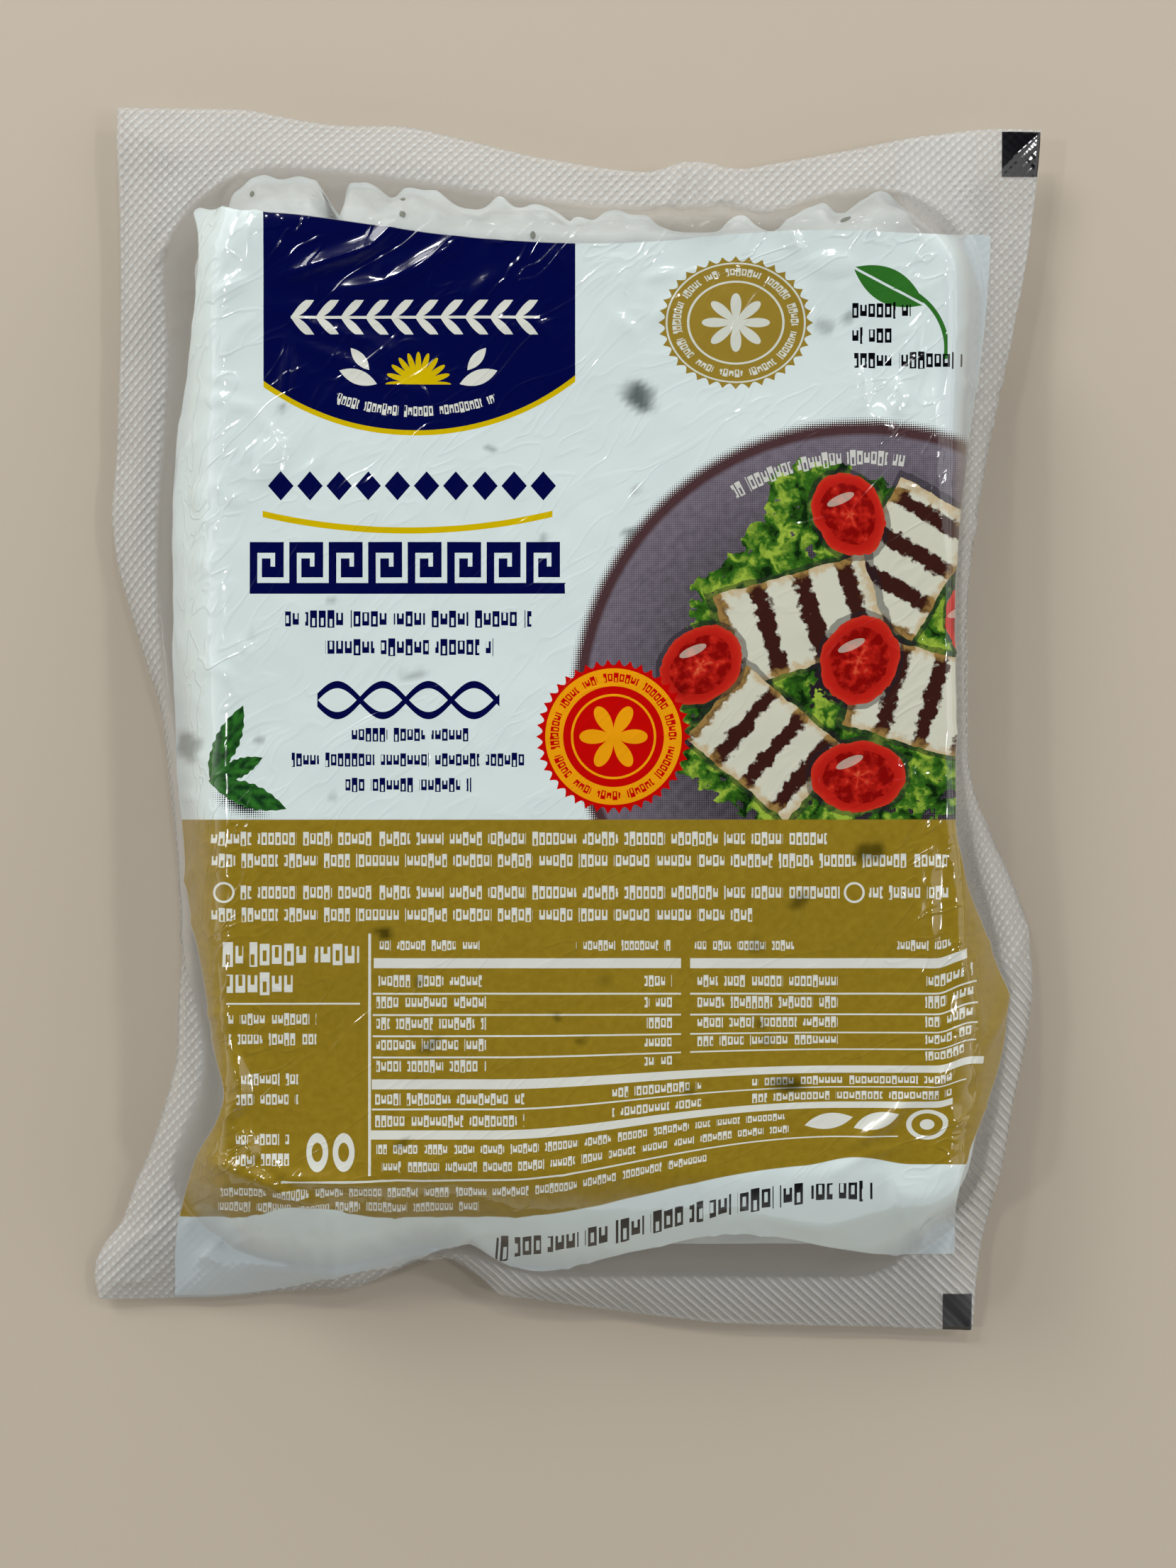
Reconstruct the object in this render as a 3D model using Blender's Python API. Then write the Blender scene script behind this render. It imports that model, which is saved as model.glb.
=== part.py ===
"""A vacuum-sealed slab of halloumi in its film, lying flat.

The slab stands under a lid film that is drawn tight over its top and shoulders, and in
a formed bottom film. Outside the slab the two films are welded into a thin wavy flange.
The pack can't be seen into, so slab, films and flange are one closed solid.

The solid has two faces over one grid. Each point of the grid has a place on the flange,
blended from the pack's four dented sides. How far it lies inside the foot of the slab's
walls says how far the upper face rises and the lower face drops there.

Sizes are millimetres here and become metres when the mesh is made. The origin is on the
surface that the pack rests on, under the middle of its outline. +Y is the long way, and
+Z is up.
"""

import bpy
import bmesh
import numpy as np

MM = 0.001

# The slab: its height, and the lines where its top starts to round off.
SLAB_HEIGHT = 23.0
SHOULDER_LEFT = -36.5
SHOULDER_RIGHT = 41.5
SHOULDER_FRONT = -48.5
SHOULDER_BACK = 54.0
CORNER_RADIUS = 14.0

# The weld: where the lid leaves the wall, and how thick the flange is.
SEAL_HEIGHT = 8.5
FLANGE_THICKNESS = 0.6

# The flange's corners, each with the height of its tip above the surface.
BACK_LEFT = np.array((-52.5, 71.5, 5.0))
BACK_RIGHT = np.array((55.0, 68.5, 6.5))
FRONT_RIGHT = np.array((47.5, -71.5, 3.0))
FRONT_LEFT = np.array((-55.0, -68.0, 2.0))

# Dents along the flange's sides: the distance from the left or front corner, the half
# width, and the depth, positive outwards and negative inwards.
BACK_DENTS = ((25.0, 11.0, -1.3), (63.0, 42.0, -6.5), (67.0, 6.0, 1.2))
RIGHT_DENTS = ((26.0, 21.0, 3.0), (45.5, 22.0, 5.3), (84.0, 56.0, -5.4))
FRONT_DENTS = ((37.0, 38.0, -2.7), (39.5, 10.5, -4.4))
LEFT_DENTS = ((4.0, 6.0, 1.6), (31.0, 35.0, -9.2), (62.5, 31.0, -6.8), (113.0, 32.0, -0.8))

# Lifts of the same edges above the straight line between their tips.
BACK_LIFTS = ((63.0, 30.0, 1.8),)
RIGHT_LIFTS = ((65.0, 50.0, -1.0),)
FRONT_LIFTS = ((39.5, 15.0, 2.4),)
LEFT_LIFTS = ((45.0, 36.0, -1.2),)

# The foot of the walls: the line of each side, and its dents by their own coordinate.
FOOT_LEFT = -47.0
FOOT_RIGHT = 46.0
FOOT_FRONT = -64.0
FOOT_BACK = 63.5
FOOT_LEFT_DENTS = ((-40.0, 17.0, -3.6), (-24.0, 44.0, -2.6), (41.0, 20.0, -1.3))
FOOT_RIGHT_DENTS = ((-35.0, 33.0, 6.1), (62.0, 51.0, 2.4))
FOOT_FRONT_DENTS = ((-42.0, 22.0, -2.0), (-15.0, 14.0, -3.0))
FOOT_BACK_DENTS = ((11.5, 49.0, -4.7), (23.5, 6.5, -1.1))

# Hollows and swells in the slab's top: centre x and y, radius, and height.
TOP_FORMS = ((-24.0, 42.0, 20.0, -0.7), (30.0, 40.0, 24.0, -1.1), (6.0, -2.0, 34.0, 0.6),
             (-26.0, -38.0, 18.0, -0.8), (27.0, -36.0, 22.0, -0.5))

# The formed bottom film starts in from the foot and rounds off onto the flat base.
BASE_INSET = 0.5
BASE_RUN = 7.0

# Each wall leaves the flange in a small fillet and ends in a round shoulder.
WALL_FILLET = 1.35
WALL_SHOULDER = 2.5

# How much of the droop from the weld to the flange's edge comes near that edge.
FLANGE_DROOP = 1.3

# The grid: stations across and along the pack, over the flange, the round corners and
# the middle, and the cells from each station to the next.
ACROSS_STATIONS = (0.0, 0.06, 0.24, 0.78, 0.94, 1.0)
ACROSS_CELLS = (3, 15, 10, 14, 4)
ALONG_STATIONS = (0.0, 0.04, 0.2, 0.82, 0.96, 1.0)
ALONG_CELLS = (3, 14, 13, 13, 3)

FILM_OVER_CHEESE = (0.86, 0.86, 0.82, 1.0)
FILM_ROUGHNESS = 0.28
CREASE_ANGLE = np.radians(50)


def bumps(distance, forms):
    """Sum of smooth humps, each half a cosine wave either side of its middle."""
    total = np.zeros_like(distance)
    for middle, half_width, height in forms:
        reach = np.clip(np.abs(distance - middle) / half_width, 0.0, 1.0)
        total += height * (0.5 + 0.5 * np.cos(np.pi * reach))
    return total


def flange_side(start, end, outward, dents, lifts, fraction):
    """Points along one side: a straight line, pushed outwards by dents and up by lifts."""
    distance = fraction * np.linalg.norm(end[:2] - start[:2])
    side = start + fraction[:, None] * (end - start)
    side[:, :2] += bumps(distance, dents)[:, None] * np.array(outward)
    side[:, 2] += bumps(distance, lifts)
    return side


def flange_sheet(across, along):
    """The surface of the flange's edge carried over the whole pack.

    Each point adds up what the two facing sides give it, both ways, less the part that
    the four corners give twice.
    """
    front = flange_side(FRONT_LEFT, FRONT_RIGHT, (0, -1), FRONT_DENTS, FRONT_LIFTS, across)
    back = flange_side(BACK_LEFT, BACK_RIGHT, (0, 1), BACK_DENTS, BACK_LIFTS, across)
    left = flange_side(FRONT_LEFT, BACK_LEFT, (-1, 0), LEFT_DENTS, LEFT_LIFTS, along)
    right = flange_side(FRONT_RIGHT, BACK_RIGHT, (1, 0), RIGHT_DENTS, RIGHT_LIFTS, along)
    s = across[:, None]
    t = along[:, None]
    corners = ((1 - s) * (1 - t) * FRONT_LEFT + s * (1 - t) * FRONT_RIGHT
               + (1 - s) * t * BACK_LEFT + s * t * BACK_RIGHT)
    return (1 - t) * front + t * back + (1 - s) * left + s * right - corners


def wall_depth(x, y):
    """How far a point lies inside the walls' foot, and the run to the shoulder there.

    Both are taken from the nearest side, and round a corner from its radius.
    """
    left = x - FOOT_LEFT + bumps(y, FOOT_LEFT_DENTS)
    right = FOOT_RIGHT + bumps(y, FOOT_RIGHT_DENTS) - x
    front = y - FOOT_FRONT + bumps(x, FOOT_FRONT_DENTS)
    back = FOOT_BACK + bumps(x, FOOT_BACK_DENTS) - y
    run_x = np.where(left < right, left + SHOULDER_LEFT - x, right + x - SHOULDER_RIGHT)
    run_y = np.where(front < back, front + SHOULDER_FRONT - y, back + y - SHOULDER_BACK)
    corner_x = np.clip(CORNER_RADIUS - np.minimum(left, right), 0.0, None)
    corner_y = np.clip(CORNER_RADIUS - np.minimum(front, back), 0.0, None)
    corner = np.hypot(corner_x, corner_y)
    share = corner_x ** 2 / np.maximum(corner ** 2, 1e-9)
    return CORNER_RADIUS - corner, share * run_x + (1 - share) * run_y


def wall_rise(depth, run):
    """From 0 at the foot, with a fillet, to 1 at the shoulder, where it is level."""
    reach = np.clip(depth / run, 0.0, 1.0)
    return 1 - (1 - reach ** WALL_FILLET) ** WALL_SHOULDER


def pack_faces(across, along):
    """The grid's places in x and y, and the heights of the lower and upper face there."""
    x, y, edge_height = flange_sheet(across, along).T
    depth, run = wall_depth(x, y)
    outside = np.clip(-depth, 0.0, None)
    to_edge = np.minimum(np.minimum(across, 1 - across) * (BACK_RIGHT[0] - BACK_LEFT[0]),
                         np.minimum(along, 1 - along) * (BACK_LEFT[1] - FRONT_LEFT[1]))
    to_edge_share = outside / np.maximum(outside + to_edge, 1e-6)
    flange = SEAL_HEIGHT + (edge_height - SEAL_HEIGHT) * to_edge_share ** FLANGE_DROOP
    top = np.full_like(x, SLAB_HEIGHT)
    for centre_x, centre_y, radius, height in TOP_FORMS:
        top += bumps(np.hypot(x - centre_x, y - centre_y), ((0.0, radius, height),))
    upper = flange + (top - flange) * wall_rise(depth, run)
    lower = (flange - FLANGE_THICKNESS) * (1 - wall_rise(depth - BASE_INSET, BASE_RUN))
    return x, y, lower, upper


def graded(stations, cells):
    """Grid lines at equal steps between each station and the next."""
    spans = zip(stations, stations[1:], cells)
    lines = [np.linspace(low, high, count, endpoint=False) for low, high, count in spans]
    return np.append(np.concatenate(lines), stations[-1])


def film_material():
    material = bpy.data.materials.new("film_over_cheese")
    material.use_nodes = True
    shader = material.node_tree.nodes["Principled BSDF"]
    shader.inputs["Base Color"].default_value = FILM_OVER_CHEESE
    shader.inputs["Roughness"].default_value = FILM_ROUGHNESS
    shader.inputs["Metallic"].default_value = 0.0
    return material


def sealed_pack():
    """A flat grid is extruded into an upper and a lower face, and both are given shape."""
    columns = sum(ACROSS_CELLS)
    rows = sum(ALONG_CELLS)
    bm = bmesh.new()
    bmesh.ops.create_grid(bm, x_segments=columns, y_segments=rows, size=1.0)
    bmesh.ops.triangulate(bm, faces=bm.faces[:], quad_method='FIXED')
    lower_verts = bm.verts[:]
    extruded = bmesh.ops.extrude_face_region(bm, geom=bm.faces[:], use_keep_orig=True)
    upper_verts = [item for item in extruded["geom"] if isinstance(item, bmesh.types.BMVert)]
    upper_at = {tuple(vert.co): vert for vert in upper_verts}

    flat = np.array([vert.co for vert in lower_verts])
    column = np.rint((flat[:, 0] + 1) / 2 * columns).astype(int)
    row = np.rint((flat[:, 1] + 1) / 2 * rows).astype(int)
    across = graded(ACROSS_STATIONS, ACROSS_CELLS)[column]
    along = graded(ALONG_STATIONS, ALONG_CELLS)[row]
    x, y, lower, upper = pack_faces(across, along)
    x -= (x.min() + x.max()) / 2
    y -= (y.min() + y.max()) / 2
    for vert, place_x, place_y, low, high in zip(lower_verts, x, y, lower, upper):
        over = upper_at[tuple(vert.co)]
        vert.co = (place_x * MM, place_y * MM, low * MM)
        over.co = (place_x * MM, place_y * MM, high * MM)
    bmesh.ops.recalc_face_normals(bm, faces=bm.faces[:])

    mesh = bpy.data.meshes.new("sealed_pack")
    bm.to_mesh(mesh)
    bm.free()
    mesh.shade_smooth()
    mesh.set_sharp_from_angle(angle=CREASE_ANGLE)
    mesh.materials.append(film_material())
    pack = bpy.data.objects.new("sealed_pack", mesh)
    bpy.context.scene.collection.objects.link(pack)


for leftover in list(bpy.data.objects):
    bpy.data.objects.remove(leftover, do_unlink=True)

sealed_pack()
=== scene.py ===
"""Looks of a vacuum-sealed slab of halloumi: formed film, cheese, mint and printed lid."""

import functools
import math

import bmesh
import bpy
import numpy as np
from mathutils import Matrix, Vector


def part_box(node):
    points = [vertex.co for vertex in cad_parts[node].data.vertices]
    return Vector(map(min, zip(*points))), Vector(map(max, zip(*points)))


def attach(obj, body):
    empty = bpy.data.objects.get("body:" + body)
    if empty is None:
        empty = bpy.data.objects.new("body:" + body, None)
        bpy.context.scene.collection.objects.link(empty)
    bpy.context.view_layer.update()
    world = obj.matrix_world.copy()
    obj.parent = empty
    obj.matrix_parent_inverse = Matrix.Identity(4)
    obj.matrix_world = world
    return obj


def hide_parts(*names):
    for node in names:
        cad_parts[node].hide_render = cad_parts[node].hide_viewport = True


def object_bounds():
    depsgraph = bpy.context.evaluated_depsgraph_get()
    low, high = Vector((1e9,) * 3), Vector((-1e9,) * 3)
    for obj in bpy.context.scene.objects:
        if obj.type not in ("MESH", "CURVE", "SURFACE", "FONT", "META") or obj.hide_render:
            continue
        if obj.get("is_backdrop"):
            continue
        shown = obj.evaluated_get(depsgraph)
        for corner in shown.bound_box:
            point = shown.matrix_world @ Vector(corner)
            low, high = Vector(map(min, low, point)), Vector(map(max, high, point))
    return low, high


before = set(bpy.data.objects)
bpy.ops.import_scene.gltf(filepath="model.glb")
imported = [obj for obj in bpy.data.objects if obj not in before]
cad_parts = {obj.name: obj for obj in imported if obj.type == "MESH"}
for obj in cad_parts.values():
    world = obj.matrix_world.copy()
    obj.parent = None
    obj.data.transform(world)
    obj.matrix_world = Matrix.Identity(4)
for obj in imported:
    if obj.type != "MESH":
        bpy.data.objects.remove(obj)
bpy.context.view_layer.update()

MM = 0.001

# Camera
# The pack was looked at from straight above, at arm's length over the table.
# The lens is given as the picture's size in pixels at one millimetre's distance.

PICTURE = (1659, 2212)
PIXELS_PER_RADIAN = 3654
EYE_HEIGHT = 307.2
EYE_X = 2.7
EYE_Y = -7.4
SENSOR = 36

eye = bpy.data.cameras.new("eye")
eye.sensor_width = SENSOR
eye.lens = SENSOR * PIXELS_PER_RADIAN / max(PICTURE)
eye.clip_start = 0.01
eye_object = bpy.data.objects.new("eye", eye)
eye_object.location = (EYE_X * MM, EYE_Y * MM, EYE_HEIGHT * MM)
bpy.context.scene.collection.objects.link(eye_object)
bpy.context.scene.camera = eye_object

# Formed bottom film
# A clear, slightly milky film drawn down round the slab. Outside the slab it lies flat and
# is welded to the lid, and the weld is embossed with small diamonds and slanting ribs.

SLAB_HEIGHT = 23
SHOULDER_LEFT = -36.5
SHOULDER_RIGHT = 41.5
SHOULDER_FRONT = -48.5
SHOULDER_BACK = 54
CORNER_RADIUS = 14
SEAL_HEIGHT = 8.5
BACK_LEFT = np.array((-52.5, 71.5, 5.0))
BACK_RIGHT = np.array((55.0, 68.5, 6.5))
FRONT_RIGHT = np.array((47.5, -71.5, 3.0))
FRONT_LEFT = np.array((-55.0, -68.0, 2.0))
BACK_DENTS = ((25, 11, -1.3), (63, 42, -6.5), (67, 6, 1.2))
RIGHT_DENTS = ((26, 21, 3), (45.5, 22, 5.3), (84, 56, -5.4))
FRONT_DENTS = ((37, 38, -2.7), (39.5, 10.5, -4.4))
LEFT_DENTS = ((4, 6, 1.6), (31, 35, -9.2), (62.5, 31, -6.8), (113, 32, -0.8))
BACK_LIFTS = ((63, 30, 1.8),)
RIGHT_LIFTS = ((65, 50, -1),)
FRONT_LIFTS = ((39.5, 15, 2.4),)
LEFT_LIFTS = ((45, 36, -1.2),)
FOOT_LEFT = -47
FOOT_RIGHT = 46
FOOT_FRONT = -64
FOOT_BACK = 63.5
FOOT_LEFT_DENTS = ((-40, 17, -3.6), (-24, 44, -2.6), (41, 20, -1.3))
FOOT_RIGHT_DENTS = ((-35, 33, 6.1), (62, 51, 2.4))
FOOT_FRONT_DENTS = ((-42, 22, -2), (-15, 14, -3))
FOOT_BACK_DENTS = ((11.5, 49, -4.7), (23.5, 6.5, -1.1))
TOP_FORMS = ((-24, 42, 20, -0.7), (30, 40, 24, -1.1), (6, -2, 34, 0.6),
             (-26, -38, 18, -0.8), (27, -36, 22, -0.5))
BASE_INSET = 0.5
BASE_RUN = 7
WALL_FILLET = 1.35
WALL_SHOULDER = 2.5
FLANGE_DROOP = 1.3

# The film's own sizes, with the waves in its loose edge, and the weld's pattern. Haze is
# how much less clear the film is: a little everywhere, more in the weld; the extra haze on
# its ridges and cut edge is painted highlight, which makes them lighter. The weld starts a
# little outside the foot, over a soft step. Ink evens out its emboss.
FILM_THICKNESS = 0.14
WELD_DEPTH = 0.4
WAVE_LENGTH = 11
WAVE_HEIGHT = 0.22
LID_ACROSS = 196
LID_ALONG = 246
EMBOSS_PITCH = 0.85
EMBOSS_DEPTH = 0.14
FILM_TONE = (214, 214, 210)
CLEAR_HAZE = 0.12
WELD_HAZE = 0.14
RIDGE_HIGHLIGHT_HAZE = 0.36
CLEAR_ROUGHNESS = 0.1
WELD_ROUGHNESS = 0.25
MATT_AND_LIT_EDGE_HAZE = 0.2
FILM_IOR = 1.56
WELD_START = (0.5, 0.7)
INK_EVENING = 0.85
FOLD_SIZE = (10, 4)
FOLD_WAY = 40
FOLD_SHARPNESS = 16
FOLD_HEIGHT = 0.45


def bumps(distance, forms):
    """Sum of smooth humps, each half a cosine wave either side of its middle."""
    total = np.zeros_like(distance)
    for middle, half_width, height in forms:
        reach = np.clip(np.abs(distance - middle) / half_width, 0.0, 1.0)
        total += height * (0.5 + 0.5 * np.cos(np.pi * reach))
    return total


def smooth_step(value, low, high):
    """0 below low, 1 above high, and between them 3 s^2 - 2 s^3 of the share s."""
    share = np.clip((value - low) / (high - low), 0.0, 1.0)
    return share * share * (3 - 2 * share)


def ripple(x, y, length, count, seed):
    """Smooth unevenness of about -1 to 1: waves of about one length, every way round."""
    draw = np.random.default_rng(seed)
    total = np.zeros_like(x)
    for _ in range(count):
        way = draw.uniform(0, 2 * np.pi)
        pitch = 2 * np.pi / (length * draw.uniform(0.7, 1.5))
        total += np.sin(pitch * (x * np.cos(way) + y * np.sin(way)) + draw.uniform(0, 2 * np.pi))
    return total / np.sqrt(count)


def wall_depth(x, y):
    """How far a point lies inside the walls' foot, and the run to the shoulder there.

    Both are taken from the nearest side, and round a corner from its radius.
    """
    left = x - FOOT_LEFT + bumps(y, FOOT_LEFT_DENTS)
    right = FOOT_RIGHT + bumps(y, FOOT_RIGHT_DENTS) - x
    front = y - FOOT_FRONT + bumps(x, FOOT_FRONT_DENTS)
    back = FOOT_BACK + bumps(x, FOOT_BACK_DENTS) - y
    run_x = np.where(left < right, left + SHOULDER_LEFT - x, right + x - SHOULDER_RIGHT)
    run_y = np.where(front < back, front + SHOULDER_FRONT - y, back + y - SHOULDER_BACK)
    corner_x = np.clip(CORNER_RADIUS - np.minimum(left, right), 0.0, None)
    corner_y = np.clip(CORNER_RADIUS - np.minimum(front, back), 0.0, None)
    corner = np.hypot(corner_x, corner_y)
    share = corner_x ** 2 / np.maximum(corner ** 2, 1e-9)
    return CORNER_RADIUS - corner, share * run_x + (1 - share) * run_y


def wall_rise(depth, run):
    """From 0 at the foot, with a fillet, to 1 at the shoulder, where it is level."""
    reach = np.clip(depth / run, 0.0, 1.0)
    return 1 - (1 - reach ** WALL_FILLET) ** WALL_SHOULDER


def slab_top(x, y):
    """The height of the slab's top: level, with a few broad hollows and swells."""
    top = np.full_like(x, SLAB_HEIGHT)
    for centre_x, centre_y, radius, height in TOP_FORMS:
        top += bumps(np.hypot(x - centre_x, y - centre_y), ((0.0, radius, height),))
    return top


def flange_side(start, end, outward, dents, lifts, fraction):
    """Points along one side: a straight line, pushed outwards by dents and up by lifts."""
    distance = fraction * np.linalg.norm(end[:2] - start[:2])
    side = start + fraction[..., None] * (end - start)
    side[..., :2] += bumps(distance, dents)[..., None] * np.array(outward)
    side[..., 2] += bumps(distance, lifts)
    return side


def flange_sheet(across, along):
    """The surface of the flange's edge carried over the whole pack.

    Each point adds up what the two facing sides give it, both ways, less the part that
    the four corners give twice.
    """
    front = flange_side(FRONT_LEFT, FRONT_RIGHT, (0, -1), FRONT_DENTS, FRONT_LIFTS, across)
    back = flange_side(BACK_LEFT, BACK_RIGHT, (0, 1), BACK_DENTS, BACK_LIFTS, across)
    left = flange_side(FRONT_LEFT, BACK_LEFT, (-1, 0), LEFT_DENTS, LEFT_LIFTS, along)
    right = flange_side(FRONT_RIGHT, BACK_RIGHT, (1, 0), RIGHT_DENTS, RIGHT_LIFTS, along)
    s = across[..., None]
    t = along[..., None]
    corners = ((1 - s) * (1 - t) * FRONT_LEFT + s * (1 - t) * FRONT_RIGHT
               + (1 - s) * t * BACK_LEFT + s * t * BACK_RIGHT)
    return (1 - t) * front + t * back + (1 - s) * left + s * right - corners


def film_grid(columns, rows):
    """Grid lines, closer over the flange and walls than over the middle."""
    even = np.linspace(0, 1, columns)
    across = even - 0.035 * np.sin(2 * np.pi * even)
    even = np.linspace(0, 1, rows)
    along = even - 0.03 * np.sin(2 * np.pi * even)
    return np.meshgrid(across, along)


def film_faces(across, along):
    """Places in x and y, the weld's height and the lid's, and how far inside the foot.

    The weld droops from the foot to the flange's edge, and has waves that both films share.
    """
    x, y, edge_height = np.moveaxis(flange_sheet(across, along), -1, 0)
    depth, run = wall_depth(x, y)
    outside = np.clip(-depth, 0.0, None)
    to_edge = np.minimum(np.minimum(across, 1 - across) * (BACK_RIGHT[0] - BACK_LEFT[0]),
                         np.minimum(along, 1 - along) * (BACK_LEFT[1] - FRONT_LEFT[1]))
    edge_share = outside / np.maximum(outside + to_edge, 1e-6)
    weld = SEAL_HEIGHT + (edge_height - SEAL_HEIGHT) * edge_share ** FLANGE_DROOP
    weld += WAVE_HEIGHT * smooth_step(outside, 0.0, 5.0) * ripple(x, y, WAVE_LENGTH, 8, 8)
    lid = weld + (slab_top(x, y) - weld) * wall_rise(depth, run)
    return x, y, weld, lid, depth


def on_picture(x, y, z):
    """Where a point is seen from the eye, as millimetres on the level of the slab's top."""
    scale = (EYE_HEIGHT - SLAB_HEIGHT) / (EYE_HEIGHT - z)
    return (x + shift[0] - EYE_X) * scale, (y + shift[1] - EYE_Y) * scale


def emboss_zones(a, b):
    """Where the weld has ribs, and where the film is hazier: one matt patch, and the cut edge, whose
    haze is a painted highlight.
    """
    ribs = smooth_step(a, 36.0, 39.0) * smooth_step(-b, 17.0, 23.0)
    ribs = np.maximum(ribs, smooth_step(a, -16.0, -12.0) * smooth_step(-b, 50.0, 53.0))
    matt_and_lit_edge = smooth_step(a, 33.0, 36.0) * smooth_step(-a, -43.5, -41.0) * smooth_step(b, 58.0, 61.0)
    # Painted highlight: the cut edge all round gets full haze, a light line round the film.
    matt_and_lit_edge[[0, -1], :] = 1.0
    matt_and_lit_edge[:, [0, -1]] = 1.0
    return ribs, matt_and_lit_edge


def fold_zone(depth, b):
    """How folded the film is: most down the walls, less on the top, not in the front strip."""
    folded = smooth_step(depth, 1.5, 6.5) * np.maximum(1.6 - 0.08 * depth, 0.2)
    return folded * smooth_step(b, -49.0, -40.0)


def mesh_over(name, points, wrap=False):
    """A mesh of four-sided faces over one grid, or a stack of grids, in millimetres.

    Wrap joins the last column to the first.
    """
    rows, columns = points.shape[-3:-1]
    index = np.arange(points.size // 3).reshape(-1, rows, columns)
    beside = np.roll(index, -1, axis=-1)
    corners = np.stack((index[:, :-1], beside[:, :-1], beside[:, 1:], index[:, 1:]), axis=-1)
    if not wrap:
        corners = corners[:, :, :-1]
    mesh = bpy.data.meshes.new(name)
    mesh.from_pydata((points.reshape(-1, 3) * MM).tolist(), [], corners.reshape(-1, 4).tolist())
    mesh.shade_smooth()
    piece = bpy.data.objects.new(name, mesh)
    bpy.context.scene.collection.objects.link(piece)
    return piece


def keep_field(piece, name, *values):
    """Keeps three numbers for each point of a piece, for its material to read."""
    field = piece.data.attributes.new(name, "FLOAT_VECTOR", "POINT")
    field.data.foreach_set("vector", np.stack(values, axis=-1).ravel().astype(np.float32))


def give_thickness(piece, thickness):
    """A second wall inside the first, in the last of the piece's materials."""
    wall = piece.modifiers.new("thickness", "SOLIDIFY")
    wall.thickness = thickness * MM
    wall.offset = -1.0
    wall.material_offset = len(piece.data.materials)
    wall.material_offset_rim = len(piece.data.materials)


def feed(node, sockets):
    """Sets a node's sockets, each to a number, a colour or an expression."""
    for name, value in sockets.items():
        if isinstance(value, Ink):
            value.tree.links.new(value.socket, node.inputs[name])
        else:
            node.inputs[name].default_value = value


def linear(colour):
    """A colour read off a screen, 0 to 255, as the shader's linear values."""
    share = np.array(colour) / 255.0
    value = np.where(share <= 0.04045, share / 12.92, ((share + 0.055) / 1.055) ** 2.4)
    return (*value.tolist(), 1.0)


class Ink:
    """A socket in a material. Sums on it add the nodes that they need."""

    def __init__(self, tree, socket=None):
        self.tree = tree
        self.socket = socket

    def node(self, kind, settings=None, sockets=None, output=0):
        """Adds a node of this kind: first its settings, then its sockets' values or links."""
        made = self.tree.nodes.new("ShaderNode" + kind)
        for name, setting in (settings or {}).items():
            if name == "stops":
                ramp = made.color_ramp
                while len(ramp.elements) < len(setting):
                    ramp.elements.new(1.0)
                for element, (place, colour) in zip(ramp.elements, setting):
                    element.position = place
                    element.color = colour
            else:
                setattr(made, name, setting)
        feed(made, sockets or {})
        return Ink(self.tree, made.outputs[output])

    def parts(self):
        """The three numbers of a vector."""
        first = self.node("SeparateXYZ", {}, {0: self})
        return [Ink(self.tree, socket) for socket in first.socket.node.outputs]

    def field(self, name):
        """The three numbers that the piece keeps under this name."""
        return self.node("Attribute", {"attribute_name": name}, output=1).parts()

    def math(self, operation, *terms, clamp=False):
        """This value and the terms put through one Math node."""
        settings = {"operation": operation, "use_clamp": clamp}
        return self.node("Math", settings, dict(enumerate((self, *terms))))

    def __add__(self, other):
        return self.math("ADD", other)

    def __sub__(self, other):
        return self.math("SUBTRACT", other)

    def __rsub__(self, other):
        return self.math("MULTIPLY_ADD", -1.0, other)

    def __mul__(self, other):
        return self.math("MULTIPLY", other)

    def __abs__(self):
        return self.math("ABSOLUTE")

    __radd__ = __add__
    __rmul__ = __mul__

    def line(self, slope, start):
        """The value times a slope, plus a start."""
        return self.math("MULTIPLY_ADD", slope, start)

    def over(self, limit, soft):
        """1 where the value is above the limit, 0 below, over a soft step."""
        return self.math("MULTIPLY_ADD", 1 / soft, 0.5 - limit / soft, clamp=True)

    def between(self, low, high):
        """1 from low to high, else 0."""
        return self.math("COMPARE", (low + high) / 2, (high - low) / 2)

    def under(self, limit):
        """1 below the limit, else 0."""
        return self.math("LESS_THAN", limit)

    def joined(self, other):
        """The larger of two masks, which covers both."""
        return self.math("MAXIMUM", other)

    def length(self):
        """A vector's length."""
        return self.node("VectorMath", {"operation": "LENGTH"}, {0: self}, output=1)

    def paint(self, colour, ground):
        """This mask's colour laid over the ground. Plain colours are as read off a screen."""
        ground, colour = (tone if isinstance(tone, Ink) else linear(tone)
                          for tone in (ground, colour))
        return self.node("Mix", {"data_type": "RGBA"}, {0: self, 6: ground, 7: colour}, output=2)


def together(masks):
    """One mask that covers all of these."""
    return functools.reduce(Ink.joined, masks)


def new_material(name):
    """A material with only a Principled shader, and the start for its expressions."""
    material = bpy.data.materials.new(name)
    material.use_nodes = True
    tree = material.node_tree
    return material, tree.nodes["Principled BSDF"], Ink(tree)


def emboss(place, ribbed):
    """The emboss's height, -1 to 1. Waves over both diagonals cross in lozenges.

    Where the weld is ribbed there is only one of the two waves.
    """
    x, y, _ = place.parts()
    turn = math.sqrt(2) * math.pi / (EMBOSS_PITCH * MM)
    falling = ((x + y) * turn).math("COSINE")
    lozenges = ((x - y) * turn).math("COSINE") * 0.66 + falling * 0.34
    return lozenges + (falling - lozenges) * ribbed


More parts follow.
